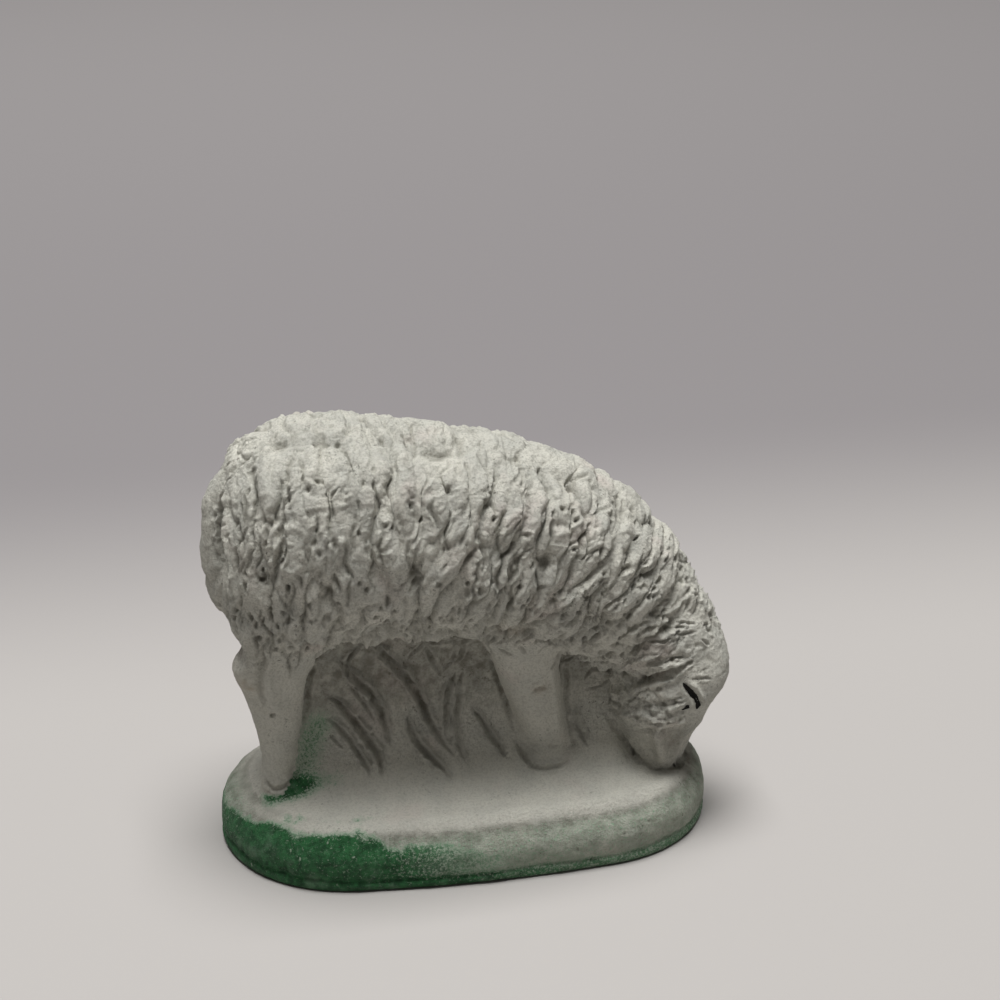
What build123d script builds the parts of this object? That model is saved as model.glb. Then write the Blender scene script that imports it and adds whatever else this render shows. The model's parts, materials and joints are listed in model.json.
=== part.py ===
"""Grazing sheep figurine: a small painted plaster casting on an oval plinth, divided where its forms meet.

Millimetres. +X points to the head, +Y to the sheep's left, +Z up. The origin is the middle of the underside.
The larger forms cut the smaller ones, so that neighbours meet face to face.
"""

import os
from math import cos, radians, sin

from build123d import *

os.makedirs("parts", exist_ok=True)

# Plinth
plinth_length = 95.4
plinth_width = 52.8
plinth_height = 11.5
plinth_shoulder_radius = 6.0
plinth_foot_radius = 1.0
plinth_end_radius_share = 0.95

# Trunk, from the rump to the plane of the shoulders; the insets are from the ends of the plinth
belly_clearance = 30.6
rump_inset = 2.7
trunk_height = 42.6
trunk_width = 39.6
shoulder_lean = 16.0

# Neck, from the shoulders to the root of the head
head_inset = 11.2
neck_reach = 24.5
neck_depth = 24.8
neck_width = 24.0
neck_swing = 2.0
neck_lean = 58.0

# Fleece: main furrows, cut row by row with a round gouge; they swing and wander from stroke to stroke
furrow_row_gap = 4.2
furrow_depth = 1.0
furrow_length = 22.0
furrow_swing = 16.0
furrow_wander = 7.0
gouge_radius = 1.6
row_phase = 2.4
column_phase = 1.7
swing_pace = 1.9

# Head and muzzle, down the line of the face
head_length = 15.5
head_depth = 24.0
head_width = 21.0
head_lean = 80.0
head_turn = 30.0
muzzle_rise = 10.55
nose_depth = 7.0
nose_width = 6.5
nose_setback = 3.5

# Ears and eyes
ear_length = 10.5
ear_breadth = 3.8
ear_thickness = 1.9
ear_edge_radius = 0.5
ear_tip_angle = 7.0
ear_flare = 10.5
eye_length = 6.0
eye_breadth = 1.2
eye_thickness = 1.5
eye_sink = 1.2
eye_slit_angle = 12.0
eye_bearing = 36.0

# Tail
tail_root_drop = 8.0
tail_length = 33.0
tail_width = 12.0
tail_thickness = 10.4

# Legs; the staggers move the left hind leg forwards and the left fore leg back
hind_leg_inset = 8.0
hind_leg_spread = 7.5
hind_leg_depth = 15.4
hind_leg_width = 9.0
hind_leg_stagger = 6.0
fore_leg_advance = 0.2
fore_leg_spread = 7.0
fore_leg_depth = 13.6
fore_leg_width = 9.0
fore_leg_stagger = 4.0
hoof_height = 7.5

# Grass bank
bank_web_thickness = 10.0
bank_front_margin = 4.4
bank_side_margin = 2.9

# How far a piece runs past the face that cuts it
cut_overrun = 7.0

# Stations of the trunk: along its length, drop of its axis, height, width, lean
trunk_shares = (
    (0.00, 0.056, 0.420, 0.340, 0.00),
    (0.07, 0.033, 0.850, 0.773, 0.00),
    (0.21, 0.005, 1.000, 0.949, 0.00),
    (0.41, 0.000, 1.000, 1.000, 0.12),
    (0.69, 0.042, 0.940, 0.990, 0.38),
    (1.00, 0.143, 0.864, 0.939, 1.00),
)
# Stations of the neck: reach, drop, swing to the right, depth, width, lean from the shoulders to the head
neck_shares = (
    (0.45, 0.28, 0.20, 1.34, 1.38, 0.36),
    (0.78, 0.66, 0.60, 1.14, 1.15, 0.70),
    (1.00, 1.00, 1.00, 1.00, 1.00, 1.00),
)
# Bearings of the furrows from the crest of the back, for the odd and the even rows
furrow_bearings = ((17.0, 56.0, 95.0), (37.0, 76.0))
# Stations of the head: down the face, shift to the forehead, shift to the right, depth, width
head_shares = (
    (0.38, 0.10, 0.02, 1.00, 1.00),
    (0.73, 0.08, 0.07, 0.94, 0.96),
    (1.00, 0.02, 0.12, 0.78, 0.82),
)
# Stations of the muzzle, from its root to the nose: along it, depth, width, setback
muzzle_shares = (
    (0.00, 0.00, 0.00, 0.00),
    (0.45, 0.52, 0.52, 0.40),
    (1.00, 1.00, 1.00, 1.00),
)
# Level of the eyes: down the face, and the middle of the head there towards the forehead and to the right
eye_level_shares = (0.63, 0.09, 0.05)
# Root of an ear: down the face, towards the forehead, and out from the middle of the head
ear_root_shares = (0.19, 0.35, 0.82)
# Stations of the tail, from its root down: drop, shift to the front, thickness, width
tail_shares = (
    (0.00, 0.48, 0.87, 0.67),
    (0.21, 0.19, 0.96, 0.87),
    (0.45, 0.14, 1.00, 1.00),
    (0.70, 0.19, 0.96, 0.93),
    (0.91, 0.33, 0.67, 0.67),
    (1.00, 0.38, 0.35, 0.33),
)
# Stations of a hind leg, from the ground up: rise, shift to the front, depth, width, spread
hind_leg_shares = (
    (0.00, -0.02, 0.35, 0.55, 0.80),
    (0.11, -0.02, 0.37, 0.60, 0.80),
    (0.26, 0.02, 0.51, 0.68, 0.84),
    (0.38, 0.00, 0.66, 0.75, 0.90),
    (0.49, -0.02, 0.82, 0.85, 0.95),
    (0.57, 0.00, 1.00, 1.00, 1.00),
    (0.71, 0.19, 1.30, 1.30, 1.20),
    (0.94, 0.26, 1.30, 1.35, 1.25),
)
# Stations of a fore leg, from the top of the hoof up: rise, shift to the front, depth, width, spread
fore_leg_shares = (
    (0.00, 0.19, 0.68, 0.74, 0.79),
    (0.24, 0.00, 0.78, 0.84, 0.90),
    (0.45, -0.14, 1.00, 1.00, 1.00),
    (0.62, -0.20, 1.18, 1.30, 1.15),
    (0.90, -0.20, 1.18, 1.30, 1.20),
)
# Sole of a fore hoof: shift to the front, depth, width, spread
sole_shares = (0.29, 0.55, 0.66, 0.78)
# Stations of the bank, from the plinth up: rise, length, flare towards the foot
bank_shares = (
    (0.000, 1.00, 1.00),
    (0.034, 0.95, 0.56),
    (0.095, 0.90, 0.25),
    (0.217, 0.87, 0.04),
    (0.440, 0.85, 0.00),
    (0.670, 0.82, 0.16),
    (0.900, 0.74, 0.22),
)

# Levels and places that several pieces share
trunk_length = plinth_length - rump_inset - neck_reach - head_inset
rump_x = rump_inset - plinth_length / 2
shoulder_x = rump_x + trunk_length
leg_rise = belly_clearance + trunk_height / 2
trunk_axis_height = plinth_height + leg_rise
head_root_height = plinth_height + muzzle_rise + head_length * sin(radians(head_lean))
bank_length = plinth_length - 2 * plinth_shoulder_radius - bank_front_margin
bank_width = plinth_width - 2 * plinth_shoulder_radius - 2 * bank_side_margin
sides = (("right", -1), ("left", 1))


def cross_plane(centre, lean, turn):
    """Plane across the body: its X axis points up the back, its Y axis to the right, its normal to the head."""
    ahead = Vector(cos(radians(turn)), -sin(radians(turn)), 0)
    up = Vector(0, 0, 1)
    normal = ahead * cos(radians(lean)) - up * sin(radians(lean))
    crest = ahead * sin(radians(lean)) + up * cos(radians(lean))
    return Plane(origin=centre, x_dir=crest, z_dir=normal)


# Oval plinth with a rounded shoulder; its outline is four tangent arcs, two round ends and two flatter sides
end_radius = plinth_end_radius_share * plinth_width / 2
end_middle = plinth_length / 2 - end_radius
side_radius = (end_middle**2 + (plinth_width / 2) ** 2 - end_radius**2) / (plinth_width - 2 * end_radius)
joint_reach = end_radius / (side_radius - end_radius)
joint_x = end_middle + joint_reach * end_middle
joint_y = joint_reach * (side_radius - plinth_width / 2)
with BuildPart() as plinth:
    with BuildSketch():
        with BuildLine():
            ThreePointArc((joint_x, joint_y), (0, plinth_width / 2), (-joint_x, joint_y))
            ThreePointArc((-joint_x, joint_y), (-plinth_length / 2, 0), (-joint_x, -joint_y))
            ThreePointArc((-joint_x, -joint_y), (0, -plinth_width / 2), (joint_x, -joint_y))
            ThreePointArc((joint_x, -joint_y), (plinth_length / 2, 0), (joint_x, joint_y))
        make_face()
    extrude(amount=plinth_height)
    fillet(plinth.faces().sort_by(Axis.Z)[-1].edges(), radius=plinth_shoulder_radius)
    fillet(plinth.faces().sort_by(Axis.Z)[0].edges(), radius=plinth_foot_radius)
plinth.part.label = "plinth"
export_step(plinth.part, "parts/plinth.step")

# The sheep's body in one run of sections, from the rump by the shoulders and the neck to the root of the muzzle
body_sections = []
for along, drop, height, width, lean in trunk_shares:
    centre = (rump_x + along * trunk_length, 0, trunk_axis_height - drop * trunk_height)
    plane = cross_plane(centre, lean * shoulder_lean, 0)
    body_sections.append((plane, height * trunk_height / 2, width * trunk_width / 2))
shoulder_plane = body_sections[-1][0]

neck_drop = shoulder_plane.origin.Z - head_root_height
for reach, drop, swing, depth, width, lean in neck_shares:
    centre = shoulder_plane.origin + Vector(reach * neck_reach, -swing * neck_swing, -drop * neck_drop)
    plane = cross_plane(centre, shoulder_lean + lean * (neck_lean - shoulder_lean), swing * head_turn)
    body_sections.append((plane, depth * neck_depth / 2, width * neck_width / 2))
head_plane = body_sections[-1][0]

# Line of the face: X towards the forehead, Y to the right cheek, Z down to the nose
face = cross_plane(head_plane.origin, head_lean, head_turn)
for down, forward, right, depth, width in head_shares:
    centre = face.from_local_coords(Vector(forward * head_depth, right * head_width, down * head_length))
    plane = Plane(origin=centre, x_dir=face.x_dir, z_dir=face.z_dir)
    body_sections.append((plane, depth * head_depth / 2, width * head_width / 2))
muzzle_plane, root_depth, root_width = body_sections[-1]

with BuildPart() as body:
    for plane, half_depth, half_width in body_sections:
        with BuildSketch(plane):
            Ellipse(half_depth, half_width)
    loft()

# Places of the gouge in the fleece, between the sections from the rump to the root of the head
woolly_planes = [plane for plane, half_depth, half_width in body_sections[1 : -len(head_shares)]]
gouge_places = []
row = 0
for first, second in zip(woolly_planes, woolly_planes[1:]):
    stretch = second.origin - first.origin
    row_count = round(stretch.length / furrow_row_gap)
    for step in range(row_count):
        share = (step + 0.5) / row_count
        centre = first.origin + stretch * share
        crest = (first.x_dir * (1 - share) + second.x_dir * share).normalized()
        right = (first.y_dir * (1 - share) + second.y_dir * share).normalized()
        row += 1
        for column, bearing in enumerate(furrow_bearings[row % 2]):
            for side_name, side in sides:
                phase = row_phase * row + column_phase * column + side
                angle = radians(bearing + furrow_wander * sin(phase))
                outward = crest * cos(angle) - right * side * sin(angle)
                hits = body.part.find_intersection_points(Axis(centre, outward))
                surface, normal = max(hits, key=lambda hit: (hit[0] - centre).dot(outward))
                stroke = normal.cross(right.cross(crest)).normalized()
                stroke = stroke.rotate(Axis((0, 0, 0), normal), furrow_swing * sin(swing_pace * phase))
                origin = surface + normal * (gouge_radius - furrow_depth)
                gouge_places.append(Plane(origin=origin, x_dir=normal, z_dir=stroke))

# The same body with its furrows
with BuildPart() as fleeced:
    add(body.part)
    with Locations(*gouge_places):
        Cylinder(gouge_radius, furrow_length, mode=Mode.SUBTRACT)

# Fleeced trunk, up to the plane of the shoulders
with BuildPart() as trunk:
    add(fleeced.part)
    split(bisect_by=shoulder_plane, keep=Keep.BOTTOM)
trunk.part.label = "trunk"
export_step(trunk.part, "parts/trunk.step")

# Fleeced neck, from the shoulders to the root of the head
with BuildPart() as neck:
    add(fleeced.part)
    split(bisect_by=shoulder_plane, keep=Keep.TOP)
    split(bisect_by=head_plane, keep=Keep.BOTTOM)
neck.part.label = "neck"
export_step(neck.part, "parts/neck.step")


def eye_seat(side):
    """Floor of an eye slit in the side of the head: its normal points out, its X axis runs down the slit."""
    down, forward, right = eye_level_shares
    middle = face.from_local_coords(Vector(forward * head_depth, right * head_width, down * head_length))
    ahead = sin(radians(eye_bearing))
    aside = cos(radians(eye_bearing))
    outward = face.y_dir * -side
    surface = middle + face.x_dir * ahead * head_depth / 2 + outward * aside * head_width / 2
    normal = (face.x_dir * ahead / head_depth + outward * aside / head_width).normalized()
    flank = normal.cross(face.z_dir)
    slit = face.z_dir * cos(radians(eye_slit_angle)) - flank * side * sin(radians(eye_slit_angle))
    return Plane(origin=surface - normal * eye_sink, x_dir=slit, z_dir=normal)


# Woolly head, with a slit cut for each eye
with BuildPart() as head:
    add(fleeced.part)
    split(bisect_by=head_plane, keep=Keep.TOP)
    for side_name, side in sides:
        with BuildSketch(eye_seat(side)):
            Ellipse(eye_length / 2, eye_breadth / 2)
        extrude(amount=eye_sink + cut_overrun, mode=Mode.SUBTRACT)
head.part.label = "head"
export_step(head.part, "parts/head.step")

# Bare muzzle, from the last section of the head; it ends level with the top of the plinth
muzzle_length = (muzzle_plane.origin.Z - plinth_height) / sin(radians(head_lean)) + cut_overrun
with BuildPart() as muzzle:
    for along, depth, width, setback in muzzle_shares:
        with BuildSketch(muzzle_plane.offset(along * muzzle_length)):
            with Locations((-setback * nose_setback, 0)):
                Ellipse(
                    root_depth + depth * (nose_depth / 2 - root_depth),
                    root_width + width * (nose_width / 2 - root_width),
                )
    loft()
    split(bisect_by=Plane.XY.offset(plinth_height), keep=Keep.TOP)
muzzle.part.label = "muzzle"
export_step(muzzle.part, "parts/muzzle.step")

# Eyes, thin inlays in the slits
for side_name, side in sides:
    with BuildPart() as eye:
        with BuildSketch(eye_seat(side)):
            Ellipse(eye_length / 2, eye_breadth / 2)
        extrude(amount=eye_thickness)
    eye.part.label = f"{side_name}_eye"
    export_step(eye.part, f"parts/{side_name}_eye.step")

# Leaf-shaped ears, laid back on the head in low relief
down, forward, out = ear_root_shares
ear_root_middle = face.from_local_coords(Vector(forward * head_depth, 0, down * head_length))
for side_name, side in sides:
    outward = face.y_dir * -side
    ear_root = ear_root_middle + outward * out * head_width / 2
    ear_normal = outward * cos(radians(ear_flare)) + face.x_dir * sin(radians(ear_flare))
    backward = outward * sin(radians(ear_flare)) - face.x_dir * cos(radians(ear_flare))
    ear_line = backward * cos(radians(ear_tip_angle)) - face.z_dir * sin(radians(ear_tip_angle))
    with BuildPart() as ear:
        with BuildSketch(Plane(origin=ear_root, x_dir=ear_line, z_dir=ear_normal)):
            with BuildLine():
                ThreePointArc((0, 0), (ear_length / 2, ear_breadth / 2), (ear_length, 0))
                ThreePointArc((ear_length, 0), (ear_length / 2, -ear_breadth / 2), (0, 0))
            make_face()
        extrude(amount=ear_thickness)
        fillet(ear.faces().sort_by(Axis(ear_root, ear_normal))[-1].edges(), radius=ear_edge_radius)
        add(body.part, mode=Mode.SUBTRACT)
    ear.part.label = f"{side_name}_ear"
    export_step(ear.part, f"parts/{side_name}_ear.step")

# Hind legs, from the plinth up into the trunk
hind_legs = []
for side_name, side in sides:
    leg_x = rump_x + hind_leg_inset + (hind_leg_stagger if side > 0 else 0)
    with BuildPart() as hind_leg:
        for rise, forward, depth, width, spread in hind_leg_shares:
            x = leg_x + forward * hind_leg_depth
            y = side * spread * hind_leg_spread
            with BuildSketch(Plane((x, y, plinth_height + rise * leg_rise))):
                Ellipse(depth * hind_leg_depth / 2, width * hind_leg_width / 2)
        loft()
        add(body.part, mode=Mode.SUBTRACT)
    hind_leg.part.label = f"{side_name}_hind_leg"
    export_step(hind_leg.part, f"parts/{side_name}_hind_leg.step")
    hind_legs.append(hind_leg.part)

# Fore legs on their hooves; the first section of a leg is the top of its hoof
hoof_top = plinth_height + hoof_height
fore_legs = []
for side_name, side in sides:
    leg_x = shoulder_x + fore_leg_advance - (fore_leg_stagger if side > 0 else 0)
    leg_sections = []
    for rise, forward, depth, width, spread in fore_leg_shares:
        x = leg_x + forward * fore_leg_depth
        y = side * spread * fore_leg_spread
        plane = Plane((x, y, hoof_top + rise * (leg_rise - hoof_height)))
        leg_sections.append((plane, depth * fore_leg_depth / 2, width * fore_leg_width / 2))
    with BuildPart() as fore_leg:
        for plane, half_depth, half_width in leg_sections:
            with BuildSketch(plane):
                Ellipse(half_depth, half_width)
        loft()
        add(body.part, mode=Mode.SUBTRACT)
    fore_leg.part.label = f"{side_name}_fore_leg"
    export_step(fore_leg.part, f"parts/{side_name}_fore_leg.step")
    fore_legs.append(fore_leg.part)

    top_plane, top_depth, top_width = leg_sections[0]
    forward, depth, width, spread = sole_shares
    sole = Plane((leg_x + forward * fore_leg_depth, side * spread * fore_leg_spread, plinth_height))
    with BuildPart() as fore_hoof:
        with BuildSketch(sole):
            Ellipse(depth * fore_leg_depth / 2, width * fore_leg_width / 2)
        with BuildSketch(top_plane):
            Ellipse(top_depth, top_width)
        loft()
    fore_hoof.part.label = f"{side_name}_fore_hoof"
    export_step(fore_hoof.part, f"parts/{side_name}_fore_hoof.step")
    fore_legs.append(fore_hoof.part)

# Woolly tail, a flap on the rump
with BuildPart() as tail:
    for drop, forward, thickness, width in tail_shares:
        x = rump_x + forward * tail_thickness
        z = trunk_axis_height + trunk_height / 2 - tail_root_drop - drop * tail_length
        with BuildSketch(Plane((x, 0, z))):
            Ellipse(thickness * tail_thickness / 2, width * tail_width / 2)
    loft()
    for piece in (body.part, *hind_legs):
        add(piece, mode=Mode.SUBTRACT)
tail.part.label = "tail"
export_step(tail.part, "parts/tail.step")

# Grass bank on the plinth, filling the space under the belly and the neck
with BuildPart() as grass_bank:
    for rise, length, flare in bank_shares:
        width = bank_web_thickness + flare * (bank_width - bank_web_thickness)
        with BuildSketch(Plane((-bank_front_margin / 2, 0, plinth_height + rise * leg_rise))):
            SlotOverall(length * bank_length, width)
    loft()
    for piece in (body.part, muzzle.part, *hind_legs, *fore_legs):
        add(piece, mode=Mode.SUBTRACT)
grass_bank.part.label = "grass_bank"
export_step(grass_bank.part, "parts/grass_bank.step")
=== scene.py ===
"""Looks of the grazing sheep figurine: one sculpted plaster skin over the CAD nodes, cut up node by node.

The skin starts as the blended union of the CAD solids. Fleece, grass, face and legs are carved into it, and
paint, dirt, stains, wear, painted shade and painted light are kept as values on its points for the materials.
Lengths are millimetres up to the last step. Pixels are points of the 1000 x 1000 photograph, read off and
dropped on to the skin along the camera's rays.
"""

import json
import math

import bpy
import numpy as np
import openvdb
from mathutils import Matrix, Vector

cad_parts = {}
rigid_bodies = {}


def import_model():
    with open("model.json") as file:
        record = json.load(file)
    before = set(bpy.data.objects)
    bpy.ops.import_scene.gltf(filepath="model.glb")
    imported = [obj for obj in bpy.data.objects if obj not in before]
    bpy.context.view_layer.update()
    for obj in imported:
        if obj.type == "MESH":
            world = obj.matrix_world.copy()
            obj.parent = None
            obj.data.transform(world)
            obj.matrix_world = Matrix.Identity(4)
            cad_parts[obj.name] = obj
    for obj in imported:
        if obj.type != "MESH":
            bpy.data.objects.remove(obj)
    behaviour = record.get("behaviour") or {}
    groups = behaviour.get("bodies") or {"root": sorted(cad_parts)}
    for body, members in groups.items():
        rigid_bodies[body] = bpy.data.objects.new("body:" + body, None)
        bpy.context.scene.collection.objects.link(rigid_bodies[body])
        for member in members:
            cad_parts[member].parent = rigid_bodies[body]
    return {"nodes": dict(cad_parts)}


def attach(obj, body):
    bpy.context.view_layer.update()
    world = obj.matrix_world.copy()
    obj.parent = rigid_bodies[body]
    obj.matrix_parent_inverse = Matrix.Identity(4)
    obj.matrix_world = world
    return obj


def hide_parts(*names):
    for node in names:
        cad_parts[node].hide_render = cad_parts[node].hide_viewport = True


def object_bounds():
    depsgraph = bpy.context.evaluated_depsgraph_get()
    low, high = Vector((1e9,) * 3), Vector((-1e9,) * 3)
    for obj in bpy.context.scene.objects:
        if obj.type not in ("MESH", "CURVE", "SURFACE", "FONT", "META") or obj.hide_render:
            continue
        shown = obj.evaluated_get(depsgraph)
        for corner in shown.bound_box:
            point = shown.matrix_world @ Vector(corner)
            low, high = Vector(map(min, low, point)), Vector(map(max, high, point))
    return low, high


for leftover in list(bpy.data.objects):
    bpy.data.objects.remove(leftover)
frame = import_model()
cad_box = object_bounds()

MILLIMETRE = 0.001

# Volume grids: the coarse one holds the CAD distances, the fine one gives the skin its points
FINE_VOXEL = 0.31
COARSE_VOXEL = 2 * FINE_VOXEL
BAND = 4.0
MARGIN = 4.5
UNION_GAP = 0.25
SKIN_BLUR = 0.45

# Radii of the blends where the forms meet
THIGH_BLEND = 4.0
SHOULDER_BLEND = 3.0
TAIL_BLEND = 0.8
EAR_BLEND = 0.6
GROUND_BLEND = 3.0
FOOT_BLEND = 1.2

# Camera of the photograph
CAMERA_PLACE = np.array([-73.7, -404.2, 243.3])
CAMERA_PITCH = math.radians(66.78)
CAMERA_YAW = math.radians(-11.3)
PHOTO_SIDE = 1000
FOCAL_PIXELS = 2400
SENSOR = 36.0

RNG = np.random.default_rng(20)


# Grids


class Grid:
    """A box of voxels with values at its corners, sampled in millimetres."""

    def __init__(self, voxel, low, high):
        self.voxel = voxel
        self.start = np.floor(low / voxel).astype(int)
        self.shape = tuple(np.ceil(high / voxel).astype(int) - self.start + 1)

    def empty(self, value):
        return np.full(self.shape, value, np.float32)

    def sample(self, values, points):
        place = points / self.voxel - self.start
        cell = np.clip(np.floor(place).astype(int), 0, np.array(self.shape) - 2)
        share = np.clip(place - cell, 0, 1).astype(np.float32)
        total = np.zeros(len(points), np.float32)
        for corner in np.ndindex(2, 2, 2):
            weight = np.prod(np.where(corner, share, 1 - share), axis=1)
            i, j, k = (cell + corner).T
            total += weight * values[i, j, k]
        return total

    def gradient(self, values, points):
        parts = []
        for axis in np.eye(3) * self.voxel:
            parts.append(self.sample(values, points + axis) - self.sample(values, points - axis))
        return np.stack(parts, 1)


def unit(vectors):
    return vectors / np.maximum(np.linalg.norm(vectors, axis=-1, keepdims=True), 1e-9)


def smooth_step(low, high, value):
    share = np.clip((value - low) / (high - low), 0, 1)
    return share * share * (3 - 2 * share)


def blur(values, radius):
    """Gaussian blur of a volume; the radius is in voxels."""
    reach = int(math.ceil(2.5 * radius))
    steps = np.arange(-reach, reach + 1)
    kernel = np.exp(-0.5 * (steps / radius) ** 2)
    kernel = (kernel / kernel.sum()).astype(np.float32)
    for axis in range(3):
        places = np.arange(values.shape[axis])
        total = np.zeros_like(values)
        for step, weight in zip(steps, kernel):
            total += weight * np.take(values, np.clip(places + step, 0, places[-1]), axis)
        values = total
    return values


def soft_union(one, other, radius):
    """Union of two distance fields with a fillet of about that radius."""
    share = np.maximum(radius - np.abs(one - other), 0) / radius
    return np.minimum(one, other) - share * share * radius / 4


def node_triangles(name):
    mesh = frame["nodes"][name].data
    mesh.calc_loop_triangles()
    points = np.empty(len(mesh.vertices) * 3, np.float32)
    mesh.vertices.foreach_get("co", points)
    corners = np.empty(len(mesh.loop_triangles) * 3, np.int32)
    mesh.loop_triangles.foreach_get("vertices", corners)
    return points.reshape(-1, 3) / MILLIMETRE, corners.reshape(-1, 3).astype(np.uint32)


def distance_to(points, triangles=None, quads=None):
    transform = openvdb.createLinearTransform(voxelSize=COARSE_VOXEL)
    level = openvdb.FloatGrid.createLevelSetFromPolygons(
        points.astype(np.float32),
        triangles=triangles,
        quads=quads,
        transform=transform,
        halfWidth=BAND / COARSE_VOXEL,
    )
    values = coarse.empty(BAND)
    level.copyToArray(values, ijk=tuple(int(i) for i in coarse.start))
    return values


def surface_of(values, grid):
    """Points and quads of the zero surface of a volume."""
    volume = openvdb.FloatGrid(BAND)
    volume.transform = openvdb.createLinearTransform(voxelSize=grid.voxel)
    volume.copyFromArray(values, ijk=tuple(int(i) for i in grid.start))
    points, quads = volume.convertToQuads(isovalue=0.0)
    return points.astype(np.float64), quads[:, ::-1].astype(np.int64)


def joined(names):
    """Distance to several touching nodes as one solid without the walls between them."""
    nearest = np.minimum.reduce([node_distance[name] for name in names])
    points, quads = surface_of(nearest - UNION_GAP, coarse)
    return distance_to(points, quads=quads.astype(np.uint32)) + UNION_GAP


low_corner = np.array(cad_box[0]) / MILLIMETRE - MARGIN
high_corner = np.array(cad_box[1]) / MILLIMETRE + MARGIN
coarse = Grid(COARSE_VOXEL, low_corner, high_corner)

NODES = sorted(frame["nodes"])
SOLID_NODES = [name for name in NODES if not name.endswith("eye")]
node_distance = {name: distance_to(*node_triangles(name)) for name in SOLID_NODES}

body = joined(["trunk", "neck", "head", "muzzle"])
skin = body
for side in ("right", "left"):
    skin = soft_union(skin, node_distance[f"{side}_hind_leg"], THIGH_BLEND)
    skin = soft_union(skin, joined([f"{side}_fore_leg", f"{side}_fore_hoof"]), SHOULDER_BLEND)
    skin = soft_union(skin, node_distance[f"{side}_ear"], EAR_BLEND)
skin = soft_union(skin, node_distance["tail"], TAIL_BLEND)
ground = soft_union(node_distance["grass_bank"], node_distance["plinth"], GROUND_BLEND)
skin = soft_union(skin, ground, FOOT_BLEND)
nearest_node = np.argmin(np.stack([node_distance[name] for name in SOLID_NODES]), axis=0).astype(np.uint8)


def refined(values):
    """The coarse volume on the fine grid, blurred so that no voxel shows."""
    for axis in range(3):
        places = (fine.start[axis] + np.arange(fine.shape[axis])) / 2 - coarse.start[axis]
        places = np.clip(places, 0, coarse.shape[axis] - 1)
        cell = np.minimum(np.floor(places).astype(int), coarse.shape[axis] - 2)
        shape = [-1 if a == axis else 1 for a in range(3)]
        share = (places - cell).astype(np.float32).reshape(shape)
        values = np.take(values, cell, axis) * (1 - share) + np.take(values, cell + 1, axis) * share
    return blur(values, SKIN_BLUR / FINE_VOXEL)


def facing_at(points):
    return unit(fine.gradient(skin, points))


coarse_skin = skin
fine = Grid(FINE_VOXEL, low_corner + COARSE_VOXEL, high_corner - COARSE_VOXEL)
skin = refined(skin)
base, quads = surface_of(skin, fine)
normal = facing_at(base)
cell = np.round(base / COARSE_VOXEL - coarse.start).astype(int)
label = nearest_node[tuple(np.clip(cell, 0, np.array(coarse.shape) - 1).T)]


# Rays of the photograph

PITCH_SIN, PITCH_COS = math.sin(CAMERA_PITCH), math.cos(CAMERA_PITCH)
YAW_SIN, YAW_COS = math.sin(CAMERA_YAW), math.cos(CAMERA_YAW)
CAMERA_RIGHT = np.array([YAW_COS, YAW_SIN, 0])
CAMERA_AHEAD = np.array([-YAW_SIN * PITCH_SIN, YAW_COS * PITCH_SIN, -PITCH_COS])
CAMERA_UP = np.array([-YAW_SIN * PITCH_COS, YAW_COS * PITCH_COS, PITCH_SIN])
RAY_START = 330.0
RAY_STEPS = 120
RAY_CAUTION = 0.85
SNAP_STEPS = 4


def from_photo(*pixels):
    """Points of the skin under some pixels of the photograph."""
    across, down = (np.array(pixels, float) - PHOTO_SIDE / 2).T / FOCAL_PIXELS
    rays = unit(CAMERA_AHEAD + across[:, None] * CAMERA_RIGHT - down[:, None] * CAMERA_UP)
    travel = np.full(len(rays), RAY_START)
    for _ in range(RAY_STEPS):
        travel += RAY_CAUTION * fine.sample(skin, CAMERA_PLACE + travel[:, None] * rays)
    return CAMERA_PLACE + travel[:, None] * rays


def on_skin(points):
    """The nearest points of the skin."""
    for _ in range(SNAP_STEPS):
        slope = fine.gradient(skin, points) / (2 * FINE_VOXEL)
        points = points - fine.sample(skin, points)[:, None] * unit(slope)
    return points


# Noise


def noise(points, size, seed):
    """Smooth value noise from -1 to 1; size is one bump's width in each direction."""
    place = points / size
    cell = np.floor(place).astype(np.int64)
    share = place - cell
    share = share * share * (3 - 2 * share)
    total = np.zeros(len(points))
    for corner in np.ndindex(2, 2, 2):
        i, j, k = (cell + corner).T
        mixed = (i * 374761393 + j * 668265263 + k * 362437 + seed * 974634) & 0xFFFFFFFF
        mixed = ((mixed ^ (mixed >> 13)) * 1274126177) & 0xFFFFFFFF
        value = ((mixed ^ (mixed >> 16)) & 0xFFFF) / 0x7FFF - 1
        total += np.prod(np.where(corner, share, 1 - share), axis=1) * value
    return total


def noises(points, *layers):
    """A sum of noises, each given by its strength, the width of its bumps and its seed."""
    return sum(strength * noise(points, size, seed) for strength, size, seed in layers)


# Carving


def onto_path(points, path):
    """How far some points are from a path and how far along it, and the marks of the path's own points."""
    steps = np.diff(path, axis=0)
    lengths = np.linalg.norm(steps, axis=1)
    marks = np.concatenate([[0], np.cumsum(lengths)])
    offset = points[:, None] - path[:-1]
    share = np.clip((offset * steps).sum(2) / np.maximum(lengths**2, 1e-9), 0, 1)
    gap = np.linalg.norm(offset - share[..., None] * steps, axis=2)
    best = gap.argmin(1)
    row = np.arange(len(points))
    return gap[row, best], marks[best] + share[row, best] * lengths[best], marks


by_x = np.argsort(base[:, 0], kind="stable")
sorted_x = base[by_x, 0]


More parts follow.
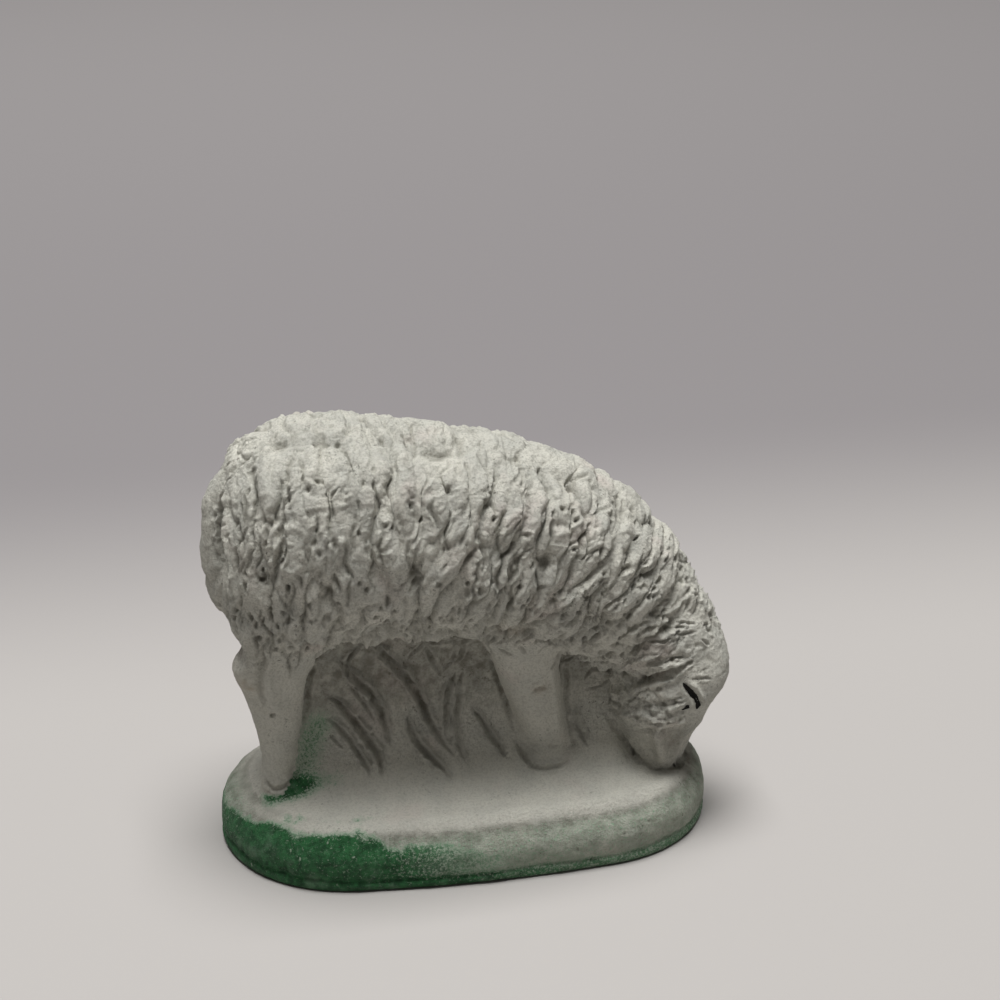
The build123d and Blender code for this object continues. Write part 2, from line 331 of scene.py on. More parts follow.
def measure(path, reach):
    """Points within reach of a path, their distances, and their places along it, from 0 to 1."""
    low = path.min(0) - reach
    high = path.max(0) + reach
    first, last = np.searchsorted(sorted_x, [low[0], high[0]])
    nearby = by_x[first:last]
    places = base[nearby, 1:]
    nearby = nearby[((places > low[1:]) & (places < high[1:])).all(1)]
    gap, run, marks = onto_path(base[nearby], path)
    inside = gap < reach
    return nearby[inside], gap[inside], run[inside] / marks[-1]


ragged_edge = 1 + noises(base, (0.35, 0.95, 41), (0.2, 0.5, 42))
cut = np.zeros(len(base))
rim = np.zeros(len(base))
GROOVE_POWER = 1.15
RIM_REACH = 2.0
RIM_PLACE = 1.2
RIM_WIDTH = 0.32
LEAST_TAPER = 0.02


def carve(path, width, depth, lip=0.25, head_taper=0.3, foot_taper=0.3):
    """Cuts a groove with a raised lip; the width is half the groove's, the tapers are shares of it."""
    nearby, gap, along = measure(path, width * RIM_REACH)
    taper = np.minimum(1, along / head_taper) * np.minimum(1, (1 - along) / foot_taper)
    taper = np.sqrt(np.clip(taper, LEAST_TAPER, 1))
    reach = gap * ragged_edge[nearby] / (width * taper)
    cut[nearby] = np.maximum(cut[nearby], depth * taper * np.clip(1 - reach, 0, 1) ** GROOVE_POWER)
    raised = lip * depth * taper * np.exp(-(((reach - RIM_PLACE) / RIM_WIDTH) ** 2))
    rim[nearby] = np.maximum(rim[nearby], raised)


def near_line(pixels, reach):
    """How near the points of the skin are to a line of the photograph, from 0 to 1."""
    strength = np.zeros(len(base))
    nearby, gap, _ = measure(from_photo(*pixels), 2 * reach)
    strength[nearby] = np.exp(-((gap / reach) ** 2))
    return strength


# Direction of the fleece: down each section of the body

# Places along the spine: x, z, lean of the section and its turn to the right, in degrees
SPINE = np.array([
    (-60.0, 61.0, -4.0, 0.0),
    (-30.0, 63.4, 3.0, 0.0),
    (-10.0, 62.6, 12.0, 0.0),
    (12.0, 57.3, 27.0, 0.0),
    (23.0, 51.7, 43.0, 6.0),
    (31.0, 44.1, 55.0, 18.0),
    (36.5, 37.3, 64.0, 30.0),
    (39.0, 28.0, 76.0, 30.0),
    (40.0, 12.0, 84.0, 30.0),
])
HEAD_RUN = (98.0, 110.0)
FOREHEAD = np.array([0.853, -0.492, 0.174])


def spine_place(points):
    """How far along the spine the points are, and the spine's height, lean and turn there."""
    _, run, marks = onto_path(points[:, [0, 2]], SPINE[:, :2])
    rise, lean, turn = (np.interp(run, marks, column) for column in SPINE[:, 1:].T)
    return run, rise, np.radians(lean), np.radians(turn)


def section_down(points):
    _, _, lean, turn = spine_place(points)
    ahead = np.stack([np.cos(turn), -np.sin(turn), np.zeros(len(points))], 1)
    return -ahead * np.sin(lean)[:, None] - np.array([0, 0, 1]) * np.cos(lean)[:, None]


def fleece_flow(points, normals):
    down = section_down(points)
    return unit(down - (down * normals).sum(1, keepdims=True) * normals)


def node_centre(name):
    return node_triangles(name)[0].mean(0)


right_eye_centre = node_centre("right_eye")
left_eye_centre = node_centre("left_eye")
head_middle = (right_eye_centre + left_eye_centre) / 2
head_across = unit(left_eye_centre - right_eye_centre)


def counterpart(path, stagger=None):
    """A path carried to the left side and moved forward by a stagger, or else across the turned head."""
    if stagger is None:
        return on_skin(path - 2 * ((path - head_middle) @ head_across)[:, None] * head_across)
    return on_skin(path * [1, -1, 1] + [stagger, 0, 0])


# Where the fleece is, and where the plaster is bare

EYE_LINE = [(683, 683), (687, 688), (692, 693), (696, 698), (699, 704), (697, 709)]
LID_LINE = [(682, 710), (686, 708), (691, 706)]
EYE_CALM = (0.6, 3.4)
POLL_LINE = [(668, 590), (684, 606), (692, 630)]
POLL_REACH = 3.2
POLL_CALM = 0.45
# Heights or places between which the fleece sets in or fades
CHEEK_HEIGHTS = (22.0, 24.5)
BELLY_HEIGHT = 39.5
BELLY_PLACES = (-28.0, -18.0)
BELLY_FADES = (10.0, 5.0)
THIGH_HEIGHTS = (40.0, 52.0)
RUMP_PLACES = (-33.0, -43.0)
RUMP_HEIGHTS = (70.0, 60.0)
BROW_PLACES = (5.0, 9.0)
# How much fleece the ears and the tail have, and how much the rump and the brow lack
EAR_FLEECE = 0.3
TAIL_FLEECE = 0.4
RUMP_CALM = 0.5
BROW_CALM = 0.85

names = np.array(SOLID_NODES)[label]
is_leg = np.char.find(names, "leg") >= 0
is_hoof = np.char.find(names, "hoof") >= 0
is_ear = np.char.find(names, "ear") >= 0
is_plinth = names == "plinth"
is_bank = names == "grass_bank"
place_x = base[:, 0]
height = base[:, 2]
facing_up = normal[:, 2]
spine_run, spine_rise, _, _ = spine_place(base)
head_share = smooth_step(*HEAD_RUN, spine_run)
brow = (base - node_centre("head")) @ FOREHEAD
fleece = np.where(np.isin(names, ["trunk", "neck", "head", "tail"]), 1.0, 0.0)
fleece *= np.where(names == "head", smooth_step(*CHEEK_HEIGHTS, height), 1.0)
belly_fade = np.interp(place_x, BELLY_PLACES, BELLY_FADES)
fleece *= np.where(names == "trunk", smooth_step(0.0, 1.0, (height - BELLY_HEIGHT) / belly_fade), 1.0)
fleece = np.where(is_leg, smooth_step(*THIGH_HEIGHTS, height), fleece)
fleece = np.where(is_ear, EAR_FLEECE, fleece)
rump = smooth_step(*RUMP_PLACES, place_x) * smooth_step(*RUMP_HEIGHTS, height)
fleece *= np.where(names == "tail", TAIL_FLEECE, 1 - RUMP_CALM * rump)
poll = near_line(POLL_LINE, POLL_REACH)
fleece *= 1 - POLL_CALM * poll
fleece *= 1 - BROW_CALM * head_share * smooth_step(*BROW_PLACES, brow)
eye_path = from_photo(*EYE_LINE)
lid_path = from_photo(*LID_LINE)
eye_paths = {"right_eye": (eye_path, lid_path), "left_eye": (counterpart(eye_path), counterpart(lid_path))}
for path, _ in eye_paths.values():
    nearby, gap, _ = measure(path, EYE_CALM[1])
    fleece[nearby] *= smooth_step(*EYE_CALM, gap)

# Lay of the locks, a noise drawn out round the body

LOCK_LEAN = 0.12
VALLEY = 0.24
BURR_PLACE = 1.35 * VALLEY
BURR_WIDTH = 0.45 * VALLEY
ROUND_RIDGE = 0.6
MEAN_RIDGE = 0.6
BACK_FACING = (0.5, 0.92)
LOW_FLANK_HEIGHTS = (60.0, 46.0)

warp = noises(base, (1.4, 6.5, 1), (0.6, 2.6, 2), (0.22, 0.95, 9))
sway = noises(base, (1.8, 6.0, 3))
drop = (base * section_down(base)).sum(1)
lay = np.stack([spine_run + LOCK_LEAN * (spine_rise - height) + warp, base[:, 1] + sway, drop + sway], 1)
back_worn = smooth_step(*BACK_FACING, facing_up)
low_flank = smooth_step(*LOW_FLANK_HEIGHTS, height)


def worms(size, seed):
    """Ridges with narrow valleys between them, and the burr thrown up along one side of each valley."""
    value = noise(lay, np.array(size), seed)
    ridge = np.clip(np.abs(value) / VALLEY, 0, 1) ** 0.75
    burr = np.exp(-(((value - BURR_PLACE) / BURR_WIDTH) ** 2))
    return 0.7 * ridge + 0.3 * np.clip(np.abs(value) / ROUND_RIDGE, 0, 1), burr


def by_zone(flank, low=0.0, back=0.0, head=0.0):
    """A strength on the flanks, with what is added low on them, on the worn back and on the head."""
    return flank + low * low_flank + back * back_worn + head * head_share


locks, lock_burr = worms((3.7, 17.0, 17.0), 4)
curls, curl_burr = worms((2.3, 9.5, 9.5), 5)
crinkle, crinkle_burr = worms((1.4, 3.0, 3.0), 7)
lumps = noise(base, 3.2, 8)
grain = noises(base, (0.6, 0.8, 6), (0.6, 0.5, 13))
crumbs = smooth_step(0.3, 0.6, noise(base, 1.3, 10) + 0.3 * grain)
burr = by_zone(0.32) * lock_burr + by_zone(0.22, low=0.12) * curl_burr
burr += by_zone(0.14, head=0.14) * crinkle_burr
burr *= by_zone(1.0, back=-0.5)
pelt = by_zone(1.4, low=0.2) * by_zone(1.0, back=-0.2) * by_zone(1.0, head=-0.55) * (locks - MEAN_RIDGE)
pelt += by_zone(0.75, back=-0.2, head=-0.2) * (curls - MEAN_RIDGE)
pelt += by_zone(0.2, head=0.45) * (crinkle - MEAN_RIDGE)
pelt += by_zone(0.22, back=0.15) * lumps + by_zone(0.16) * grain + burr
pelt -= by_zone(0.12, low=0.5) * by_zone(1.0, back=-0.7) * crumbs

# Tool strokes in the fleece

STROKE_STEP = 0.55
STROKE_CANDIDATES = 16000
STROKE_COUNT = 1200
STROKE_GAPS = (8.0, 2.4)
STROKE_LENGTHS = (4.0, 13.0)
STROKE_SIZES = (0.6, 1.3)
STROKE_WIDTH = 0.58
STROKE_DEPTHS = (0.3, 1.0)
STROKE_LIP = 0.38
STROKE_SWAY = 0.5
# Size of the strokes along the spine: run, share
SIZE_RUNS = [0, 70, 85, 100, 115]
SIZE_SHARES = [1.0, 1.0, 0.85, 0.7, 0.6]


def spread(candidates, along, across, most):
    """Picks places no closer than those distances along and across the fleece."""
    picked = []
    places = base[candidates]
    lines = fleece_flow(places, normal[candidates])
    chosen = np.zeros((most, 3))
    for index in range(len(candidates)):
        offset = chosen[: len(picked)] - places[index]
        run = offset @ lines[index]
        aside = (offset**2).sum(1) - run**2
        if not ((run / along) ** 2 + aside / across**2 < 1).any():
            chosen[len(picked)] = places[index]
            picked.append(candidates[index])
            if len(picked) == most:
                break
    return np.array(picked)


def strokes(seeds, lengths, sway_size):
    """Paths down the fleece from the seeds, swaying from side to side."""
    count = int(lengths.max() / STROKE_STEP) + 1
    point = base[seeds]
    phase = RNG.uniform(0, 2 * np.pi, len(seeds))
    pace = RNG.uniform(0.5, 1.1, len(seeds))
    lean = RNG.normal(0, 0.22, len(seeds))
    paths = [point]
    for step in range(count):
        facing = facing_at(point)
        line = fleece_flow(point, facing)
        aside = np.cross(facing, line)
        swing = lean + sway_size * np.sin(phase + step * STROKE_STEP * pace)
        point = point + STROKE_STEP * unit(line + swing[:, None] * aside)
        point = point - fine.sample(skin, point)[:, None] * facing
        paths.append(point)
    paths = np.stack(paths, 1)
    return [paths[i, : max(3, int(lengths[i] / STROKE_STEP))] for i in range(len(seeds))]


woolly = np.flatnonzero(fleece > 0.5)
woolly = RNG.permutation(woolly)[:STROKE_CANDIDATES]
scale_at = np.interp(spine_run, SIZE_RUNS, SIZE_SHARES)
seeds = spread(woolly, *STROKE_GAPS, STROKE_COUNT)
lengths = RNG.uniform(*STROKE_LENGTHS, len(seeds)) * scale_at[seeds]
for path, seed in zip(strokes(seeds, lengths, STROKE_SWAY), seeds):
    size = scale_at[seed] * RNG.uniform(*STROKE_SIZES)
    depth = RNG.uniform(*STROKE_DEPTHS) * scale_at[seed] * (1 - 0.4 * back_worn[seed])
    carve(path, STROKE_WIDTH * size, depth, lip=STROKE_LIP)

# Pits left by the tool, most of them low on the flanks

PIT_COUNT = 1100
PIT_LENGTHS = (1.2, 3.2)
PIT_WIDTHS = (0.35, 0.8)
PIT_DEPTHS = (0.5, 1.2)
PIT_LIP = 0.3
PIT_SWAY = 0.2
pit_share = by_zone(0.004, low=0.02) * by_zone(1.0, head=-0.85)
pit_seeds = np.flatnonzero((fleece > 0.45) & (RNG.random(len(base)) < pit_share))
pit_seeds = RNG.permutation(pit_seeds)[:PIT_COUNT]
for path, seed in zip(strokes(pit_seeds, RNG.uniform(*PIT_LENGTHS, len(pit_seeds)), PIT_SWAY), pit_seeds):
    carve(path, RNG.uniform(*PIT_WIDTHS), RNG.uniform(*PIT_DEPTHS) * (1 - 0.5 * back_worn[seed]), lip=PIT_LIP)

# Lines cut by hand, read from the photograph: half the width, the depth, the pixels

BLADES = [
    (0.75, 1.05, [(363, 639), (384, 654), (404, 674), (418, 695), (428, 718), (437, 733),
                  (447, 748), (454, 756)]),
    (0.7, 1.0, [(336, 657), (346, 668), (358, 681), (370, 692), (379, 708), (386, 728), (391, 748)]),
    (0.4, 0.45, [(346, 682), (356, 693), (368, 709), (376, 724)]),
    (0.7, 1.0, [(327, 695), (338, 702), (349, 715), (360, 728), (377, 752), (381, 768), (382, 780)]),
    (0.5, 0.7, [(326, 716), (338, 726), (350, 740), (358, 752), (366, 766), (372, 780)]),
    (0.4, 0.4, [(330, 734), (338, 742), (344, 748)]),
    (0.65, 0.9, [(406, 714), (410, 728), (417, 741), (426, 753), (435, 763), (455, 781)]),
    (0.6, 0.6, [(464, 668), (460, 682), (457, 712), (458, 745), (471, 772)]),
    (0.6, 0.8, [(456, 672), (448, 690), (446, 705), (445, 740)]),
    (0.5, 0.5, [(424, 645), (430, 655), (442, 678)]),
    (0.55, 0.75, [(470, 705), (482, 720), (490, 734), (500, 748), (507, 760)]),
    (0.6, 0.6, [(577, 703), (574, 715), (579, 728), (584, 740), (588, 748)]),
]
BLADE_LIP = 1.0
BLADE_WIDENING = 1.2
BODY_LINES = [
    (0.8, 0.6, [(318, 658), (326, 648), (340, 641), (360, 637), (395, 638), (440, 641), (480, 642)]),
    (0.4, 0.3, [(355, 628), (390, 631), (430, 634), (470, 634)]),
    (1.3, 1.4, [(228, 480), (222, 500), (221, 530), (224, 555), (229, 578), (236, 605), (242, 630)]),
    (1.0, 0.9, [(284, 537), (283, 549), (277, 561), (275, 575), (273, 591)]),
    (0.9, 0.9, [(333, 537), (334, 543), (335, 549)]),
    (0.6, 0.7, [(321, 568), (320, 574), (318, 579)]),
    (0.45, 0.7, [(253, 453), (245, 463), (237, 474)]),
    (0.45, 0.7, [(258, 456), (252, 464), (246, 472)]),
    (0.5, 0.7, [(295, 572), (301, 579), (302, 589)]),
    (0.5, 0.7, [(270, 610), (271, 615), (272, 621)]),
]
HIND_LINES = [
    (0.9, 0.45, [(263, 648), (261, 665), (260, 680), (261, 695), (265, 710)]),
    (0.8, 0.5, [(343, 640), (330, 646), (318, 657), (311, 671), (308, 688), (306, 705),
                (304, 722), (302, 738)]),
    (0.45, 0.8, [(270, 717), (275, 714)]),
    (0.5, 0.6, [(300, 632), (302, 640)]),
    (0.4, 0.45, [(306, 648), (313, 641)]),
    (0.7, 0.6, [(262, 770), (266, 782), (274, 789), (284, 787), (292, 780), (299, 768)]),
]
FORE_LINES = [
    (0.8, 0.55, [(488, 655), (494, 668), (500, 684), (505, 700), (510, 717), (514, 732)]),
    (0.7, 0.5, [(566, 655), (567, 680), (566, 700), (569, 720), (573, 740), (574, 752)]),
    (0.55, 0.7, [(497, 648), (504, 651), (512, 655)]),
    (0.5, 0.6, [(518, 645), (523, 649), (526, 654)]),
    (0.6, 0.45, [(532, 693), (538, 688), (549, 687)]),
    (0.5, 0.35, [(527, 742), (533, 744), (541, 746)]),
    (0.5, 0.4, [(546, 744), (552, 746), (558, 746)]),
    (0.8, 0.9, [(513, 738), (520, 750), (526, 760), (533, 767), (545, 769), (560, 766), (570, 760)]),
]
HEAD_LINES = [
    (1.2, 1.4, [(636, 684), (646, 679), (661, 676), (679, 669), (688, 665)]),
    (0.45, 0.6, [(645, 664), (656, 661), (669, 662)]),
    (0.5, 0.7, [(685, 664), (694, 662)]),
    (0.4, 0.45, [(692, 679), (705, 678), (713, 679)]),
    (0.5, 0.9, [(650, 617), (657, 616), (666, 616)]),
    (0.5, 0.9, [(660, 602), (667, 600), (673, 599)]),
    (0.5, 0.8, [(624, 632), (646, 628), (661, 624)]),
    (0.5, 0.8, [(628, 637), (646, 634), (656, 632), (667, 624)]),
    (0.45, 0.8, [(646, 640), (661, 640), (672, 637)]),
    (0.4, 0.6, [(675, 636), (684, 634), (697, 631)]),
    (0.4, 0.6, [(675, 622), (687, 623), (696, 624)]),
    (0.35, 0.4, [(702, 622), (717, 623)]),
    (0.4, 0.45, [(700, 639), (710, 645)]),
    (0.9, 0.8, [(626, 656), (633, 648), (641, 641)]),
    (0.35, 0.4, [(630, 664), (636, 657), (648, 652), (664, 650)]),
    (0.9, 0.35, [(661, 727), (662, 732), (661, 737)]),
    (0.8, 0.45, [(600, 706), (611, 722), (623, 738), (632, 751), (642, 762), (654, 769), (664, 771)]),
    (0.8, 0.45, [(623, 729), (641, 731), (652, 729), (660, 720), (668, 716), (684, 717), (698, 717)]),
]
# Raised forms: half the width, the height, the pixels
FLANK_BULGES = [
    (9.0, 1.0, [(212, 505), (236, 494), (280, 487), (330, 483), (400, 484), (470, 492), (530, 505),
                (580, 525), (620, 550), (640, 575)]),
]
BODY_RIDGES = [
    (0.8, 0.55, [(282, 509), (283, 519), (271, 535), (268, 551), (269, 570)]),
    (1.0, 0.85, [(243, 474), (234, 481), (229, 491), (227, 510), (228, 540), (233, 575),
                 (240, 600), (246, 624)]),
    (2.4, 0.55, [(322, 834), (366, 831), (444, 819), (516, 811), (575, 805), (620, 796),
                 (666, 783), (694, 770)]),
]
HIND_RIDGES = [
    (1.1, 0.5, [(273, 648), (270, 665), (269, 682), (271, 700)]),
    (5.0, 0.8, [(241, 672), (243, 679)]),
]
FORE_RIDGES = [
    (1.3, 0.35, [(553, 655), (555, 700), (558, 738)]),
    (1.0, 0.4, [(526, 751), (540, 754), (560, 752)]),
]
HEAD_RIDGES = [
    (1.8, 1.2, [(655, 720), (658, 738), (661, 752), (663, 766)]),
    (0.9, 0.45, [(689, 681), (696, 688), (702, 697), (704, 706)]),
    (0.9, 0.4, [(632, 664), (640, 657), (655, 654), (672, 655)]),
    (1.4, 0.5, [(640, 668), (655, 667), (670, 665)]),
]
# Hollows: half the width, the depth, the pixels
HEAD_HOLLOWS = [
    (3.0, 0.6, [(634, 732), (642, 744), (650, 756)]),
    (3.0, 0.5, [(676, 724), (676, 738), (673, 752)]),
    (4.8, 1.7, [(692, 742), (685, 760)]),
    (2.6, 0.6, [(612, 676), (618, 684), (628, 690)]),
]
HIND_HOLLOWS = [
    (2.6, 0.5, [(258, 690), (262, 712), (266, 735)]),
]
TAIL_HOLLOWS = [
    (3.0, 1.5, [(224, 486), (220, 505), (219, 530), (222, 555), (228, 580), (236, 608)]),
]
PLINTH_HOLLOWS = [
    (2.6, 0.5, [(330, 850), (400, 845), (480, 838), (560, 827), (620, 815), (660, 804), (692, 788)]),
]
BANK_HOLLOWS = [
    (1.6, 0.55, [(458, 672), (452, 700), (451, 735)]),
]
# The dip below the tail, across the back of the hind legs, in millimetres
TAIL_DIP = (4.5, 2.3, [(-47.0, -10.0, 44.5), (-47.0, 0.0, 44.5), (-47.0, 10.0, 44.5)])
LINE_LIP = 0.4
LINE_TAPERS = (0.25, 0.3)
RIDGE_ENDS = (0.25, 0.0)
HOLLOW_ENDS = (0.3, 0.3)
BODY_STAGGER = 0.0
HIND_STAGGER = 6.0
FORE_STAGGER = -4.0
BANK_STAGGER = 2.0


def pairs(forms, stagger):
    """Half the width, the depth and the path of each form, on the right side and on the hidden left one."""
    for half_width, depth, pixels in forms:
        path = from_photo(*pixels)
        yield half_width, depth, path
        yield half_width, depth, counterpart(path, stagger)


def carve_pairs(lines, stagger=None, lip=LINE_LIP, widening=1.0):
    for half_width, depth, path in pairs(lines, stagger):
        carve(path, widening * half_width, depth, lip, *LINE_TAPERS)


def mould_pairs(field, forms, ends, stagger=None):
    """Adds soft forms to a field; a form of two pixels has no taper."""
    taper_share, least_taper = ends
    for half_width, top, path in pairs(forms, stagger):
        nearby, gap, along = measure(path, half_width)
        taper = np.clip(np.minimum(along, 1 - along) / taper_share + least_taper, 0, 1)
        if len(path) == 2:
            taper = 1.0
        field[nearby] = np.maximum(field[nearby], top * taper * smooth_step(half_width, 0, gap))


bulge = np.zeros(len(base))
mould_pairs(bulge, FLANK_BULGES, RIDGE_ENDS, BODY_STAGGER)
bulge[is_plinth | is_bank] = 0.0

hollow = np.zeros(len(base))
mould_pairs(hollow, HEAD_HOLLOWS, HOLLOW_ENDS)
mould_pairs(hollow, HIND_HOLLOWS, HOLLOW_ENDS, HIND_STAGGER)
mould_pairs(hollow, TAIL_HOLLOWS, HOLLOW_ENDS, BODY_STAGGER)
dip_reach, dip_depth, dip_places = TAIL_DIP
nearby, gap, _ = measure(on_skin(np.array(dip_places)), dip_reach)
hollow[nearby] = np.maximum(hollow[nearby], dip_depth * smooth_step(dip_reach, 0, gap))
hollow[is_plinth | is_bank] = 0.0
mould_pairs(hollow, PLINTH_HOLLOWS, HOLLOW_ENDS, BODY_STAGGER)
mould_pairs(hollow, BANK_HOLLOWS, HOLLOW_ENDS, BANK_STAGGER)

swell = np.zeros(len(base))
mould_pairs(swell, BODY_RIDGES, RIDGE_ENDS, BODY_STAGGER)
mould_pairs(swell, HIND_RIDGES, RIDGE_ENDS, HIND_STAGGER)
mould_pairs(swell, FORE_RIDGES, RIDGE_ENDS, FORE_STAGGER)
mould_pairs(swell, HEAD_RIDGES, RIDGE_ENDS)

carve_pairs(BLADES, BANK_STAGGER, BLADE_LIP, BLADE_WIDENING)
carve_pairs(BODY_LINES, BODY_STAGGER)
carve_pairs(HIND_LINES, HIND_STAGGER)
carve_pairs(FORE_LINES, FORE_STAGGER)
carve_pairs(HEAD_LINES)

EYE_WIDTH = 0.75
EYE_CUT = 0.6
# The groove is wider than the black stroke in it
EYE_GROOVE = 1.25
LID_CUT = 0.5 * EYE_CUT
LID_GROOVE = 0.6
LID_STROKE = 0.45
for eye, lid in eye_paths.values():
    carve(eye, EYE_WIDTH * EYE_GROOVE, EYE_CUT, lip=0.5, head_taper=0.2, foot_taper=0.15)
    carve(lid, EYE_WIDTH * LID_GROOVE, LID_CUT, lip=0.3)

# Plinth: a worn lip round its foot, a wavy outline and small chips

LIP_HEIGHT = 2.4
LIP_WIDTH = 0.5
LIP_DEPTH = 0.42
SIDE_FACING = 0.75
CHIP_COUNT = 60
CHIP_RISE = 0.6
CHIP_BAND = 0.5
CHIP_REACHES = (0.4, 1.1)
CHIP_LENGTH = 0.3
CHIP_DEPTH = 0.3
on_side = is_plinth & (facing_up < SIDE_FACING)
lip_wave = LIP_HEIGHT + noises(base, (0.35, 9.0, 21))
lip_cut = LIP_DEPTH * np.exp(-(((height - lip_wave) / LIP_WIDTH) ** 2))
wavy = noises(base, (0.3, 11.0, 22), (0.12, 4.0, 23))
chip_seeds = np.flatnonzero(on_side & (np.abs(height - lip_wave - CHIP_RISE) < CHIP_BAND))
chip_seeds = RNG.permutation(chip_seeds)[:CHIP_COUNT]
chips = np.zeros(len(base))
for seed in chip_seeds:
    reach = RNG.uniform(*CHIP_REACHES)
    nearby, gap, _ = measure(base[[seed, seed]] + [[0, 0, 0], [CHIP_LENGTH, 0, 0]], reach)
    chips[nearby] = np.maximum(chips[nearby], 1 - gap / reach)

# Height of the finished skin over the base

PINHOLE_COUNT = 260
PINHOLE_LENGTH = 1.0
PINHOLE_WIDTHS = (0.3, 0.5)
PINHOLE_DEPTHS = (0.15, 0.4)
PINHOLE_LIP = 0.1
FLARE = 1.4
FLARE_TOP = 30.0
FLARE_RISE = 18.0
WALL_FACING = (0.9, 0.5)
LEG_CLEARANCES = (0.5, 3.5)
FOOT_HEIGHTS = (0.2, 1.8)

pinhole_seeds = RNG.permutation(np.flatnonzero(fleece < 0.5))[:PINHOLE_COUNT]
for path in strokes(pinhole_seeds, np.full(len(pinhole_seeds), PINHOLE_LENGTH), 0.0):
    carve(path[:2], RNG.uniform(*PINHOLE_WIDTHS), RNG.uniform(*PINHOLE_DEPTHS), lip=PINHOLE_LIP)
leg_nodes = [name for name in SOLID_NODES if name.endswith(("leg", "hoof", "muzzle"))]
leg_distance = coarse.sample(np.minimum.reduce([node_distance[name] for name in leg_nodes]), base)
flare = FLARE * np.clip((FLARE_TOP - height) / FLARE_RISE, 0, 1) ** 2 * smooth_step(*WALL_FACING, facing_up)
flare *= smooth_step(*LEG_CLEARANCES, leg_distance)
plain = noises(base, (0.16, 5.0, 11), (0.08, 1.6, 12)) + 0.07 * grain
relief = fleece * pelt + (1 - fleece) * plain + rim * (1 - np.clip(cut / 0.3, 0, 1)) - cut
relief += bulge + swell - hollow + is_bank * flare
relief += is_plinth * wavy - on_side * lip_cut - CHIP_DEPTH * chips
relief *= smooth_step(*FOOT_HEIGHTS, height)
skin_points = base + relief[:, None] * normal

# Dirt and painted shade in cuts and fleece valleys, and painted shade in corners, on shaded walls, the muzzle
# and the rump, from 0 to 1

CREVICE_BLUR = 2.2
CREVICE_DEPTH = 0.75
# Where painted shade goes: the bank under the belly, the plinth's sides and a line down the muzzle
BANK_SHADE_HEIGHTS = (20.0, 35.0)
BANK_SHADE_FACING = (0.8, 0.3)
SHOULDER_FACING = (0.97, 0.8)
SIDE_SHADE_FACING = (0.6, 0.2)
SHADED_MUZZLE_LINE = [(674, 728), (674, 750)]
SHADED_MUZZLE_REACH = 3.0

on_muzzle = names == "muzzle"
# Painted shade: darker where the blurred skin is hollow, in corners and recesses
crevice_shade = np.clip(-coarse.sample(blur(coarse_skin, CREVICE_BLUR), base) / CREVICE_DEPTH - 0.12, 0, 1)
# Dirt and painted shade in the cuts and in the valleys of the fleece
dirt_and_shade = np.clip(cut / 0.8, 0, 1) + smooth_step(-0.1, -0.9, pelt) * fleece
dirt_and_shade *= 1 - 0.4 * head_share
# Painted shade on the bank's upper walls, under the belly
bank_shade = smooth_step(*BANK_SHADE_HEIGHTS, height) * smooth_step(*BANK_SHADE_FACING, facing_up)
# Painted shade on the plinth's sides where they turn down from its top, a little less where they stand
# upright
plinth_side_shade = 0.85 * smooth_step(*SHOULDER_FACING, facing_up)
plinth_side_shade -= 0.15 * smooth_step(*SIDE_SHADE_FACING, facing_up)
# Painted shade on the bank and the plinth's sides, on the muzzle and the rump, and a little darkening on the
# legs
shade_and_grime = 0.95 * is_bank * bank_shade + is_plinth * plinth_side_shade
shade_and_grime += 0.22 * on_muzzle + 0.04 * is_leg + 0.3 * rump
dirt_and_shade = np.clip(0.9 * dirt_and_shade + 0.5 * crevice_shade + shade_and_grime, 0, 1) * (1 - 0.75 * poll)
# Painted shade along the muzzle's front plane, which faces away from the light
dirt_and_shade = np.clip(dirt_and_shade + 0.5 * on_muzzle * near_line(SHADED_MUZZLE_LINE, SHADED_MUZZLE_REACH), 0, 1)

# Green paint round the plinth and at the hind foot, from 0 to 1

PLINTH_HALVES = (47.7, 26.4)
SHOULDER_START = 5.5
SHOULDER_RADIUS = 6.0
# Upper edge of the green: pixels on the side that shows, and guessed bearings and climbs on the hidden side
GREEN_EDGE = [
    (228, 804), (242, 814), (259, 822), (288, 828), (301, 836), (353, 834), (379, 841),
    (396, 850), (438, 840), (480, 848), (540, 845), (600, 842), (650, 828), (690, 806),
]
HIDDEN_EDGE = [(20.0, 7.0), (70.0, 6.0), (110.0, 7.0), (150.0, 7.5)]
EDGE_FADE = (1.6, -1.3)
# How thick the green lies, by bearing
GREEN_COVER = [
    (-180.0, 0.85), (-150.0, 1.0), (-115.0, 0.95), (-100.0, 0.62), (-85.0, 0.36), (-60.0, 0.25),
    (-30.0, 0.25), (0.0, 0.3), (60.0, 0.4), (120.0, 0.7), (180.0, 0.85),
]
LIP_GREEN_HEIGHTS = (3.2, 1.6)
TINT_HEIGHTS = (11.4, 9.5)
LEFT_END_PLACES = (-38.0, -47.0)
SMEAR_LINE = [(272, 794), (285, 790), (300, 783), (315, 776), (335, 770)]
SMEAR_REACH = 2.4
SMEAR_HEIGHTS = (17.5, 13.5)
TINT_LINE = [(300, 782), (306, 760), (310, 742), (318, 725)]
TINT_REACH = 3.2
FOOT_GREEN_HEIGHTS = (13.8, 12.6)


def bearing_of(points):
    return np.degrees(np.arctan2(points[:, 1] / PLINTH_HALVES[1], points[:, 0] / PLINTH_HALVES[0]))


def climb_of(points, normals):
    """How far up the plinth's side and over its shoulder a point lies."""
    over = np.arcsin(np.clip(normals[:, 2], 0, 1))
    return np.minimum(points[:, 2], SHOULDER_START) + SHOULDER_RADIUS * over


